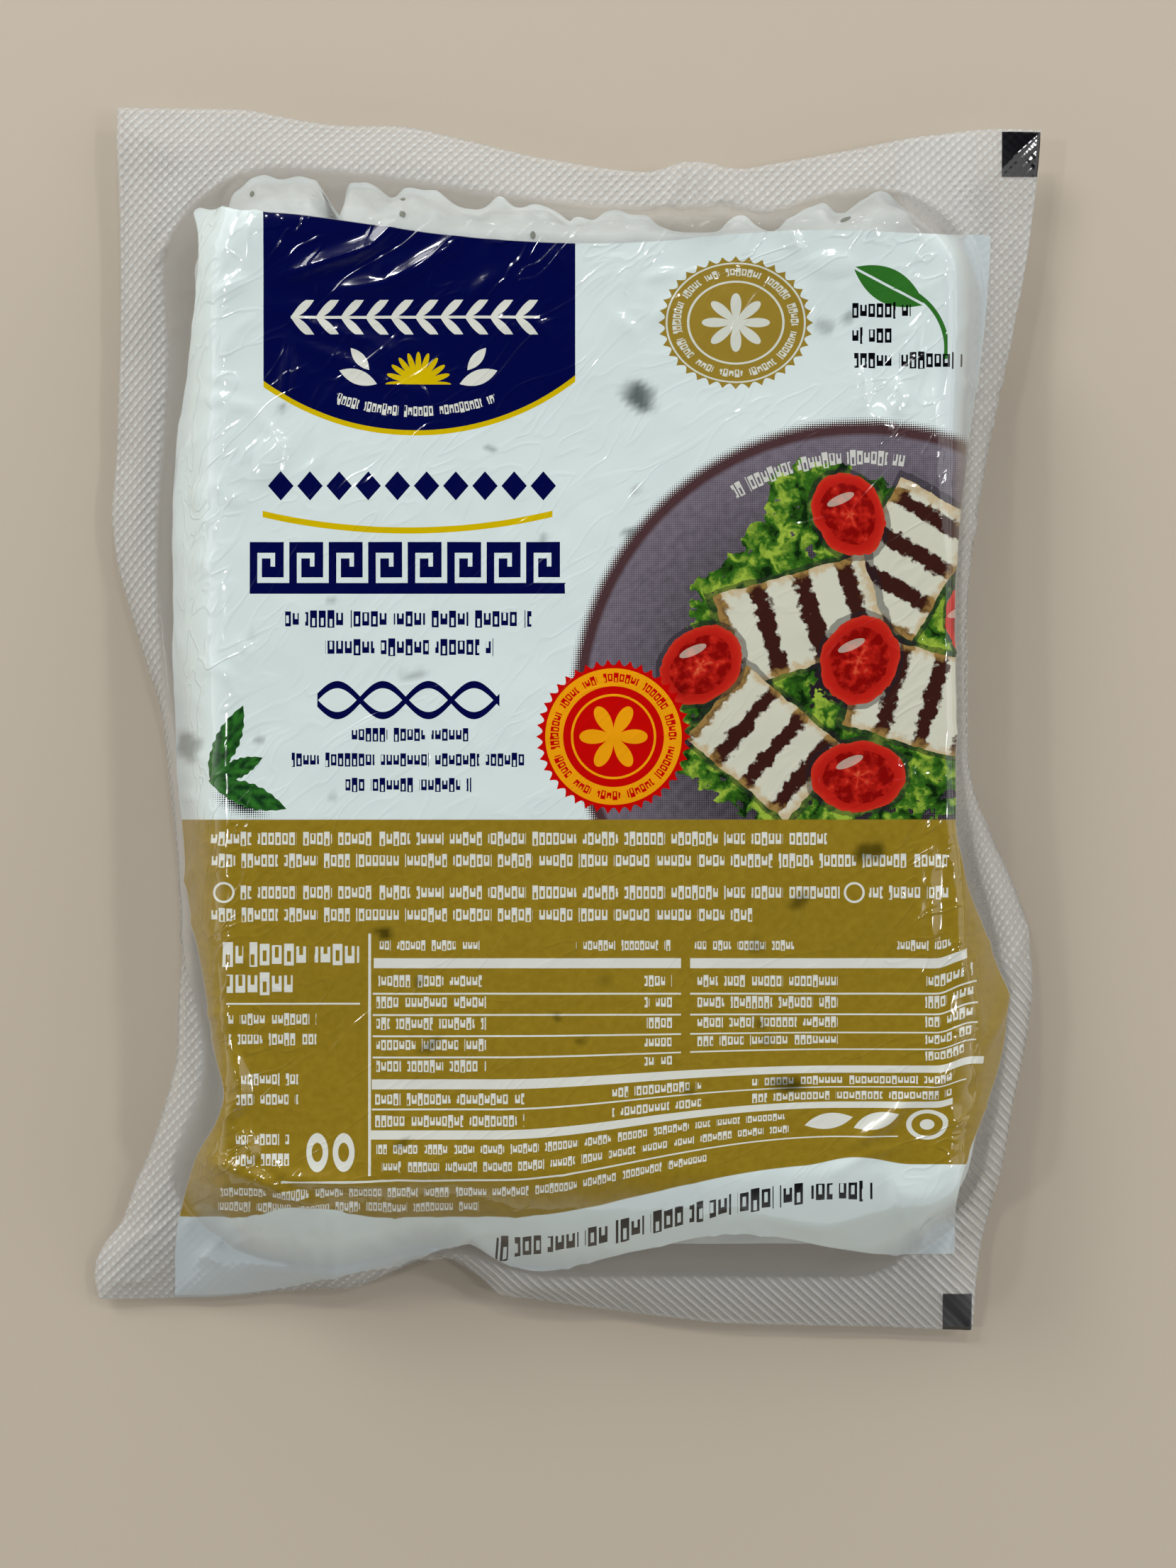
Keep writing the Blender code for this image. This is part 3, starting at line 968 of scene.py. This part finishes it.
def crest(sheet, colour):
    sides = sheet.a.between(CREST_MIDDLE - CREST_HALF_WIDTH, CREST_MIDDLE + CREST_HALF_WIDTH)
    middle, radius = CREST_ARC
    reach = sheet.away(middle)
    edge = reach.between(radius - CREST_LINE, radius + CREST_LINE) * sheet.row.under(56.0)
    colour = (sides * reach.under(radius)).paint(NAVY, colour)
    colour = (sides * edge).paint(YELLOW, colour)

    along = sheet.a.line(1 / GARLAND_PITCH, -GARLAND[0] / GARLAND_PITCH).math("FRACT")
    aside = abs(sheet.row - GARLAND_ROW) * (1 / GARLAND_HEIGHT)
    slant = abs(along * 1.15 - aside)
    garland = slant.under((along * along - along).line(-1.3, 0.0)) * aside.under(1.0)
    garland = aside.under(0.08).joined(garland) * sheet.a.between(*GARLAND)
    out, up, _ = sheet.local(middle, (1.0, 1.0)).parts()
    bars, _ = small_print(up.math("ARCTAN2", out) * radius, reach, CREST_PRINT[1], 2.0, 1.3, 4.6)
    bars = bars * reach.between(*CREST_PRINT) * abs(out).under(CREST_PRINT_HALF)
    white = together([garland, bars, *(sheet.leaf(*spray) for spray in CREST_LEAVES)])
    colour = white.paint(PANEL_WHITE, colour)

    sun = sheet.local(SUN, (SUN_HALF_SIZE, SUN_HALF_SIZE))
    out, up, _ = sun.parts()
    ray = abs((up.math("ARCTAN2", out) * SUN_RAYS).math("COSINE"))
    shine = sun.length().under(ray.line(0.45, 0.55)) * up.math("GREATER_THAN", 0.0)
    return shine.paint(YELLOW, colour)


# Headings: a chain of lozenges, a yellow line that sags, a broad key band, small print,
# a double wave and more small print, all in navy and centred on the crest.
HEADING_MIDDLE = -19.7
LOZENGES = (-35.3, -3.3)
LOZENGE_ROW = 32.7
LOZENGE_HALF = (1.4, 1.6)
LOZENGE_PITCH = 3.2
SAG_MIDDLE = (-19.8, 97.8)
SAG_RADIUS = 70
SAG_LINE = 0.34
KEY_LEFT = -37.1
KEY_FRONT = 21
KEY_CELL = (4.33, 5.4)
KEY_CELLS = 8
KEY_STROKES = ((0, 1, 0, 6), (0, 5, 5, 6), (4, 5, 2, 6), (2, 5, 2, 3), (2, 3, 2, 4),
               (0, 6, 0, 1))
KEY_SWELL = 0.16
WAVE_BAND = (-29.7, -9.7)
WAVE_ROW = 9.2
WAVE_HALF_HEIGHT = 1.7
WAVE_BAND_PITCH = 5
WAVE_LINE = 0.4


def headings(sheet, colour):
    a, row = sheet.a, sheet.row
    along = a.line(1 / LOZENGE_PITCH, -LOZENGES[0] / LOZENGE_PITCH).math("FRACT") - 0.5
    slope = abs(along) * (LOZENGE_PITCH / LOZENGE_HALF[0])
    aside = abs(row - LOZENGE_ROW) * (1 / LOZENGE_HALF[1])
    navy = (slope + aside).under(1.0) * a.between(*LOZENGES)

    unit = KEY_CELL[0] / 6
    across = a.line(1 / unit, -KEY_LEFT / unit).math("WRAP", 6.0, 0.0)
    up = row.line(6 / KEY_CELL[1], -KEY_FRONT * 6 / KEY_CELL[1])
    key = together([across.between(left - KEY_SWELL, right + KEY_SWELL)
                    * up.between(low - KEY_SWELL, high + KEY_SWELL)
                    for left, right, low, high in KEY_STROKES])
    navy = navy.joined(key * a.between(KEY_LEFT, KEY_LEFT + KEY_CELLS * KEY_CELL[0]))

    swing = abs((a * (math.pi / WAVE_BAND_PITCH)).math("SINE")) * WAVE_HALF_HEIGHT
    wave = abs(abs(row - WAVE_ROW) - swing).under(WAVE_LINE) * a.between(*WAVE_BAND)
    navy = navy.joined(wave)

    aside = abs(a - HEADING_MIDDLE)
    bars, number = small_print(a, row, 19.1, 3.1, 2.0, 5.2)
    navy = navy.joined(bars * aside.under(number.line(-4.2, 13.5)) * row.between(13.2, 19.1))
    bars, number = small_print(a, row, 6.2, 2.75, 1.6, 5.2)
    bars = bars * aside.under(abs(number - 1.0).line(-5.9, 12.8))
    navy = navy.joined(bars * row.between(-1.6, 6.2))
    colour = navy.paint(NAVY, colour)

    sag = sheet.away(SAG_MIDDLE).between(SAG_RADIUS - SAG_LINE, SAG_RADIUS + SAG_LINE)
    return (sag * row.under(40.0) * a.between(-35.7, -3.9)).paint(YELLOW, colour)


# Seals: a red one over a yellow ring with a flower, and a gold one with a star. Each has
# a toothed edge and a ring of bars for its small print.
RED = (192, 8, 6)
AMBER = (234, 156, 14)
SEAL_GOLD = (150, 126, 46)
SEAL_CREAM = (208, 212, 200)
RED_SEAL = ((2.8, 5.2), (8.5, 8.5))
RED_TEETH = 42
GOLD_SEAL = ((16.2, 50.6), (8.5, 7.3))
GOLD_TEETH = 36


def seal_parts(sheet, seal, teeth, petals):
    """A seal's distance from its middle, and the masks of its body, print and flower."""
    local = sheet.local(*seal)
    out, up, _ = local.parts()
    reach = local.length()
    angle = up.math("ARCTAN2", out)
    body = reach.under(abs((angle * (teeth / 2)).math("SINE")).line(-0.08, 1.0))
    bars, _ = small_print(angle * 6.0, reach * 10.0, 8.25, 2.0, 1.25, 3.4)
    flower = reach.under(abs((angle * petals).math("COSINE")).line(0.34, 0.10))
    return reach, body, bars * reach.between(0.68, 0.84), flower


def red_seal(sheet, colour):
    reach, body, bars, flower = seal_parts(sheet, RED_SEAL, RED_TEETH, 3)
    colour = body.paint(RED, colour)
    colour = reach.under(0.88).paint(AMBER, colour)
    colour = bars.joined(reach.under(0.65)).paint(RED, colour)
    return flower.joined(reach.between(0.52, 0.55)).paint(AMBER, colour)


def gold_seal(sheet, colour):
    reach, body, bars, flower = seal_parts(sheet, GOLD_SEAL, GOLD_TEETH, 4)
    colour = body.paint(SEAL_GOLD, colour)
    cream = bars.joined(flower).joined(reach.between(0.60, 0.63)).joined(reach.between(0.88, 0.905))
    return cream.paint(SEAL_CREAM, colour)


# Leaves: a green blade on a bent stem with three short rows beside it, and a sprig of
# mint whose shadow is printed as a screen of dots.
GREEN = (48, 110, 40)
SPRIG_DARK = (20, 54, 26)
BLADE = ((33, 54.6), (4.4, 1.9), -28)
BESIDE_LEAF = (52.9, 2.75, 1.9, 5.6,
               ((29, 35.4, 0, 1), (29, 33.4, 1, 2), (29.2, 40.9, 2, 3)))
STEM_MIDDLE = (32.4, 47.8)
STEM_RADIUS = 6.9
SPRIG = (((-39.6, 4.6), (4.4, 1.4), 66), ((-38.6, 1.6), (3.2, 1.1), 24),
         ((-37.3, -1.2), (4.5, 1.4), -20))
SPRIG_SHADOW = ((-38, -2.2), (3.6, 1.5), -24)


def leaves(sheet, colour):
    vein = abs(sheet.local(*BLADE).parts()[1]).under(0.07)
    stem = sheet.away(STEM_MIDDLE).between(STEM_RADIUS - 0.25, STEM_RADIUS + 0.25)
    stem = stem * sheet.box(33.0, 39.4, 46.6, 54.4)
    blade = (sheet.leaf(*BLADE) * (1 - vein)).joined(stem)
    colour = sheet.block(*BESIDE_LEAF).paint(BLACK, blade.paint(GREEN, colour))

    shade = sheet.local(*SPRIG_SHADOW).length().line(-0.9, 1.0)
    colour = (shade + sheet.screen * 0.5).math("GREATER_THAN", 0.55).paint(BLACK, colour)
    for spray in SPRIG:
        along, across, _ = sheet.local(*spray).parts()
        tooth = (along * 26.0).math("SINE").line(0.06, 0.94)
        body = abs(across).under((along * along).line(-1.0, 1.0) * tooth)
        rib = ((abs(across) * 0.8 - along) * 9.0).math("SINE")
        tone = (rib * 0.16 + sheet.grain).over(0.5, 0.5)
        colour = body.paint(tone.paint(GREEN, SPRIG_DARK), colour)
    return colour


# Plate: grilled slices, halved tomatoes and leaves on a dark plate, cut off by the
# label's right edge and the panel. Its own edge fades out as a screen of dots.
PLATE_MIDDLE = (30, 8)
PLATE_RADIUS = 31.2
PLATE_FADE = 1.2
PLATE_RIM = 0.9
PLATE_PRINT = (26.9, 28.7)
PLATE_PRINT_ENDS = (1.40, 2.10)
PLATE_GREY = (122, 114, 126)
PLATE_DARK = (38, 32, 38)
PLATE_BROWN = (70, 40, 40)
LETTUCE_DARK = (14, 36, 12)
LETTUCE = (54, 104, 28)
LETTUCE_LIGHT = (150, 178, 62)
SLICE_WHITE = (206, 206, 188)
SLICE_TAN = (186, 150, 84)
GRILLED = (58, 28, 22)
TOMATO_DARK = (132, 10, 8)
TOMATO = (190, 34, 24)
TOMATO_LIGHT = (216, 96, 62)
TOMATO_LOBES = 3
LEAF_SPREAD = 4
LETTUCE_BEDS = (((16.4, 8), (10, 7), 40), ((19, 19), (8, 7), 10),
                ((29, 28.6), (10.5, 5.6), -30), ((36, 18), (8, 14), 0),
                ((28, 2), (16, 8), 0), ((42, 8), (4.5, 13), 0),
                ((21, 25.4), (7, 4.2), 42))
SLICES = (((35, 24.6), (7.6, 5), 60), ((23.4, 18), (8.6, 5.2), 16),
          ((36.6, 9.4), (7.6, 5.2), -16), ((19.6, 4.4), (7.2, 5.2), -40))
SLICE_BARS = 3.5
TOMATOES = (((28.6, 29.6), (3.8, 4.8), 30), ((12.4, 13), (5, 3.9), 40),
            ((29.8, 13.6), (4.2, 5), -20), ((29.6, 0.8), (5.2, 3.9), 0),
            ((41.8, 17.4), (2.4, 4.6), 10))


def plate(sheet, colour):
    grain = sheet.grain
    reach = sheet.away(PLATE_MIDDLE)
    fade = reach.line(-1 / PLATE_FADE, 1.0 + PLATE_RADIUS / PLATE_FADE)
    dotted = (fade + sheet.screen * 0.5).math("GREATER_THAN", 0.5)
    depth = reach.line(1 / PLATE_RADIUS, 0.0)
    grey = (depth + grain * 0.4 + sheet.screen * 0.2).over(0.95, 0.7)
    grey = grey.paint(PLATE_GREY, PLATE_DARK)
    rim = reach.over(PLATE_RADIUS - PLATE_RIM, 0.5) * 0.9
    colour = dotted.paint(rim.paint(PLATE_BROWN, grey), colour)

    noise = sheet.place.node("TexNoise", {}, {"Vector": sheet.place, "Scale": 0.45, "Detail": 3.0},
                             output=1)
    wobble = noise.node("VectorMath", {"operation": "MULTIPLY_ADD"},
                        {0: noise, 1: (LEAF_SPREAD,) * 3, 2: (-LEAF_SPREAD / 2,) * 3})
    loose = noise.node("VectorMath", {"operation": "ADD"}, {0: sheet.place, 1: wobble})
    firm = noise.node("VectorMath", {"operation": "MULTIPLY_ADD"},
                      {0: wobble, 1: (0.25,) * 3, 2: sheet.place})
    spread = together([sheet.local(*bed, place=loose).length().under(1.0)
                       for bed in LETTUCE_BEDS])
    folds = noise.node("TexNoise", {}, {"Vector": loose, "Scale": 0.45, "Detail": 4.0})
    green = noise.node("ValToRGB", {"stops": ((0.36, linear(LETTUCE_DARK)), (0.5, linear(LETTUCE)),
                                              (0.62, linear(LETTUCE_LIGHT)))}, {0: folds})
    colour = spread.paint(green, colour)

    out, up, _ = sheet.local(PLATE_MIDDLE, (1.0, 1.0)).parts()
    angle = up.math("ARCTAN2", out)
    bars, _ = small_print(angle * PLATE_RADIUS, reach, PLATE_PRINT[1], 2.4, 1.8, 6.4)
    bars = bars * reach.between(*PLATE_PRINT) * angle.between(*PLATE_PRINT_ENDS)
    colour = (bars * 0.8).paint(PANEL_WHITE, colour)

    rough = grain - 0.5
    for slice_of_cheese in SLICES:
        along, across, _ = sheet.local(*slice_of_cheese, place=firm).parts()
        edge = abs(along).joined(abs(across))
        bars = (along * (math.pi * SLICE_BARS)).math("SINE") + rough * 2.4
        top = bars.over(0.3, 0.35).paint(GRILLED, SLICE_WHITE)
        top = ((edge + rough * 0.5).over(0.9, 0.15) * 0.6).paint(SLICE_TAN, top)
        colour = (edge.under(1.1) * 0.6).paint(PLATE_DARK, colour)
        colour = edge.under(1.0).paint(top, colour)

    for tomato in TOMATOES:
        half = sheet.local(*tomato, place=firm)
        reach = half.length()
        out, up, _ = half.parts()
        lobes = abs((up.math("ARCTAN2", out) * TOMATO_LOBES).math("COSINE"))
        pulp = (lobes * 0.35 + rough * 2.0) * reach.under(0.74)
        flesh = reach.node("ValToRGB", {"stops": ((0.0, linear(TOMATO_LIGHT)), (0.5, linear(TOMATO)),
                                                  (1.0, linear(TOMATO_DARK)))},
                           {0: abs(reach - 0.62).line(-0.9, 0.75) + pulp})
        shine = sheet.local((tomato[0][0] - 0.9, tomato[0][1] + 1.6), (1.6, 0.5), 24.0).length()
        colour = (reach.under(1.12) * 0.6).paint(PLATE_DARK, colour)
        colour = reach.under(1.0).paint(flesh, colour)
        colour = (shine.under(1.0) * 0.5).paint(SLICE_WHITE, colour)
    return colour


# Panel: white rules, thick and thin, with bars between them for the small print, round
# marks and leaf marks. A black dotted row lies on the white strip below.
PANEL_RULES = ((-23.5, 10.2, -20.2, -19.1), (11.2, 41.2, -20.2, -19.1),
               (-23.7, 43.2, -33.5, -32.4), (-23.9, 40, -39, -38),
               (-23.7, 41.4, -35.8, -35.6), (-33.7, 34, -43.5, -43.3),
               (-39.6, -25, -24.2, -24), (-24.1, -23.8, -42.9, -16.4))
THIN_RULES = (-22.9, 2.33, 4)
# Blocks of small print: the first row's top, the pitch, the height, the word length, and
# the columns with the rows that each takes in.
PANEL_PRINT = (
    (-5.2, 2.4, 1.6, 4.6, ((-41.3, 26.2, 0, 1), (-41.3, 39.6, 1, 2))),
    (-11.1, 2.45, 1.6, 4.6, ((-38.2, 27.6, 0, 1), (30.8, 39.6, 0, 1), (-41.3, 18, 1, 2))),
    (-17.3, 3.2, 2.8, 9, ((-40.1, -25.1, 0, 1), (-40, -32.4, 1, 2))),
    (-25.1, 2.2, 1.4, 3.8, ((-39.4, -29.8, 0, 2), (-38.8, -31.8, 3, 5), (-38.6, -32.8, 6, 8))),
    (-17.1, 2, 1.2, 4.2, ((-22.9, -11.9, 0, 1), (-1.3, 9.1, 0, 1), (11.7, 22.6, 0, 1),
                            (33.6, 39.7, 0, 1))),
    (-20.9, 2.34, 1.4, 4.6, ((-23.2, -11.2, 0, 5), (6.2, 9.2, 0, 5), (12, 27.4, 0, 4),
                             (37, 42, 0, 5))),
    (-33.9, 2.4, 1.4, 6, ((-23.4, -7, 0, 2), (2.6, 12.4, 0, 2), (18, 40, 0, 2))),
    (-39.5, 1.9, 1.15, 3.6, ((-23.2, 22, 0, 2),)),
    (-44.1, 1.6, 1.1, 4.4, ((-40.5, 13, 0, 1), (-40.5, -12, 1, 2))))
ROUND_MARKS = ((-39.9, -11.9), (29.2, -11.9))
BIG_MARKS = (((-29.7, -40.4), (1.2, 2.1)), ((-26.8, -40.4), (1.2, 2.1)))
LEAF_MARKS = (((26.4, -41), (2.7, 1.2), 12), ((31.6, -41), (2.7, 1.2), 24))
RING_MARK = ((37.2, -41.6), (2.3, 2.3))
STAMP = (-49.4, 3.2, 2.5, 3.4, ((-10, 31.2, 0, 1),))


def panel_ground(sheet, colour):
    gold = sheet.grain.over(0.55, 0.6).paint(GOLD_CLOUD, GOLD)
    return sheet.panel.over(0.0, PRINT_EDGE).paint(gold, colour)


def panel_print(sheet, colour):
    first, pitch, count = THIN_RULES
    thin = sheet.row.line(-1 / pitch, first / pitch).math("FRACT").under(0.2 / pitch)
    thin = thin * sheet.box(-23.6, 42.4, first - (count - 1) * pitch - 0.4, first)
    ring = sheet.local(*RING_MARK).length()
    white = together([
        thin * (1 - sheet.a.between(10.2, 11.2)),
        ring.under(1.0) * (1 - ring.between(0.35, 0.75)),
        *(sheet.box(*rule) for rule in PANEL_RULES),
        *(sheet.block(*block) for block in PANEL_PRINT),
        *(sheet.away(middle).between(0.9, 1.15) for middle in ROUND_MARKS),
        *(sheet.local(*mark).length().between(0.5, 1.0) for mark in BIG_MARKS),
        *(sheet.leaf(*mark) for mark in LEAF_MARKS)])
    panel = sheet.panel.over(0.0, PRINT_EDGE)
    colour = (white * panel).paint(PANEL_WHITE, colour)
    return (sheet.block(*STAMP) * (1 - panel)).paint(BLACK, colour)


# Two dark marks on the loose edge guide the machine that cuts the packs apart.
EYE_MARKS = ((45.4, 49.6, 66.6, 71.5), (38.9, 42, -60, -55.9))


def eye_marks(start):
    """The marks' colour and mask."""
    a, _, _ = start.field("print_place")
    _, _, b = start.field("label_zones")
    return BLACK, together([a.between(left, right) * b.between(front, back)
                            for left, right, front, back in EYE_MARKS])


def artwork(*drawings):
    """What film_material needs for the label with these drawings, one over another.

    The white ink is thin, so it is greyer where no cheese lies behind it: this grey is painted
    shade, for the shaded hollow under the film that shows through.
    """
    def print_on(start):
        sheet = Sheet(start)
        backed = start.field("film_zones")[0].over(2.5, 4.0)
        # Painted shade: the white is greyer within a few millimetres of the walls' foot, where no
        # cheese lies behind it.
        colour = backed.paint(LABEL_WHITE, THIN_WHITE_IN_SHADE)
        for draw in drawings:
            colour = draw(sheet, colour)
        shaded = sheet.mint.node("Mix", {"data_type": "RGBA", "blend_type": "MULTIPLY"},
                                 {0: sheet.mint, 6: colour, 7: linear(MINT_SHADE)}, output=2)
        return shaded, sheet.label.over(0.0, PRINT_EDGE)
    return print_on


def corner_values(values):
    """The four corners of each cell of a grid."""
    return values[:-1, :-1], values[1:, :-1], values[:-1, 1:], values[1:, 1:]


# Each zone of the lid has its own material, with only the drawings that fall in it.
for name, print_on in (
        ("film_margin", eye_marks),
        ("heading_print", artwork(crest, headings, gold_seal, leaves, panel_ground)),
        ("plate_print", artwork(plate, red_seal, panel_ground)),
        ("panel_print", artwork(panel_ground, panel_print))):
    lid_film.data.materials.append(film_material(name, print_on))
plate_reach = np.hypot(a - PLATE_MIDDLE[0], row - PLATE_MIDDLE[1]) - PLATE_RADIUS
seal_reach = np.hypot(a - RED_SEAL[0][0], row - RED_SEAL[0][1]) - RED_SEAL[1][0]
on_plate = np.minimum.reduce(corner_values(np.minimum(plate_reach - 3.4, seal_reach))) < 0
below = np.maximum.reduce(corner_values(b)) < PANEL_BACK - 0.4
outside = np.maximum.reduce(corner_values(label)) < -PRINT_EDGE
zone = np.select((outside, below, on_plate), (0, 3, 2), 1)
lid_film.data.polygons.foreach_set("material_index", zone.ravel())

lid_film.data.materials.append(clear_film)
give_thickness(lid_film, FILM_THICKNESS)
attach(lid_film, "root")
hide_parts("sealed_pack")

# Floor and light
# A plain pale floor, a broad soft panel on the window side, a weaker one across from it,
# and small lamps whose glints pick out the folds. The sky is bright only low down, so the
# flat top mirrors little of it, and brighter beyond the pack's back end than its front.

FLOOR_REACH = 2
FLOOR_COLOUR = (196, 184, 166)

floor = bpy.data.objects.new("floor", bpy.data.meshes.new("floor"))
floor.data.from_pydata([(side * FLOOR_REACH, end * FLOOR_REACH, 0)
                        for side, end in ((-1, -1), (1, -1), (1, 1), (-1, 1))], [], [(0, 1, 2, 3)])
bpy.context.scene.collection.objects.link(floor)
floor_material, floor_shader, _ = new_material("pale_floor")
feed(floor_shader, {"Base Color": linear(FLOOR_COLOUR), "Roughness": 0.6})
floor.data.materials.append(floor_material)
floor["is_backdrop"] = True


def soft_light(name, place, size, power):
    """A square panel of light that faces the pack."""
    lamp = bpy.data.lights.new(name, "AREA")
    lamp.shape = "SQUARE"
    lamp.size = size
    lamp.energy = power
    panel = bpy.data.objects.new(name, lamp)
    panel.location = place
    panel.rotation_mode = "QUATERNION"
    panel.rotation_quaternion = (-Vector(place)).to_track_quat("-Z", "Y")
    bpy.context.scene.collection.objects.link(panel)


SMALL_LAMPS = ((-0.3, 0.5, 0.8), (0.12, 0.52, 0.85), (0.5, 0.3, 0.8), (-0.5, 0, 0.85),
               (0.52, -0.08, 0.85))

soft_light("window", (-0.45, 0.55, 0.6), 0.3, 2.4)
soft_light("room", (0.7, 0.1, 0.6), 0.5, 1.0)
for number, place in enumerate(SMALL_LAMPS):
    soft_light(f"lamp_{number}", place, 0.05, 0.8)

world = bpy.data.worlds.new("studio")
world.use_nodes = True
sky = Ink(world.node_tree)
_, back, height = sky.node("TexCoord").parts()
low_down = abs(height).line(-1.0, 1.0)
strength = low_down * low_down.line(1.9, 0.04) * back.line(0.4, 1.0)
background = world.node_tree.nodes["Background"]
background.inputs["Color"].default_value = (1, 1, 1, 1)
world.node_tree.links.new(strength.socket, background.inputs["Strength"])
bpy.context.scene.world = world
bpy.context.scene.view_settings.view_transform = "Standard"

low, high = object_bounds()
